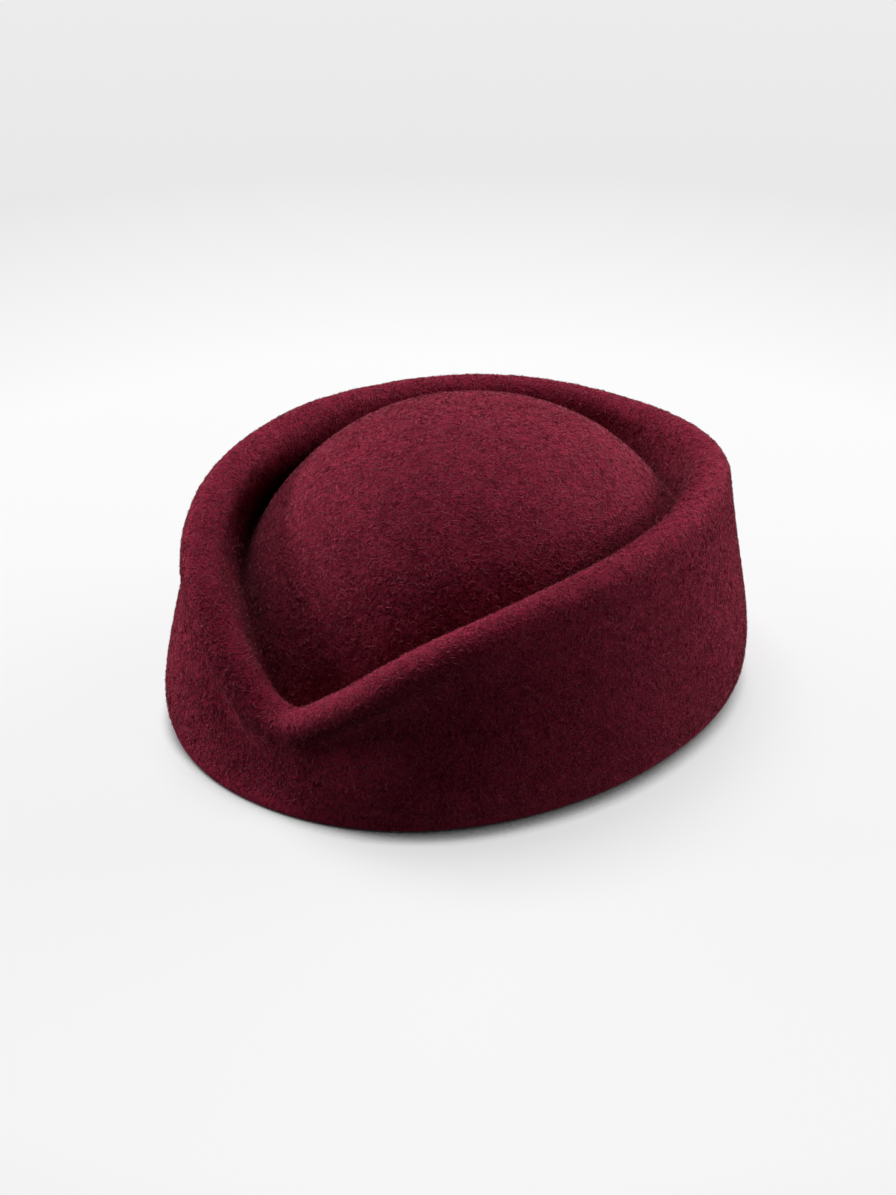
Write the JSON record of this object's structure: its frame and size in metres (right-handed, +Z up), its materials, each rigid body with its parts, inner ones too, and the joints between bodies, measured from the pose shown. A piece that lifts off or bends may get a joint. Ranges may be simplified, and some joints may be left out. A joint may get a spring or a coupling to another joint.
{
  "type": "felt pillbox hat",
  "caption": "One-piece wool felt pillbox hat: oval side wall, soft rolled rim dipping at the front, a groove behind it and a domed crown over an open head hollow.",
  "frame": {"origin": "middle of the base edge's outline, in the plane that the hat stands on", "axes": "+Z up through the crown, +Y towards the back of the hat, +X towards the wearer's left"},
  "size_m": [0.1772, 0.202, 0.088],
  "materials": {
    "felt": "matt wool felt with a short nap and a soft sheen"
  },
  "bodies": {
    "root": {"felt_shell": "felt"}
  },
  "joints": []
}
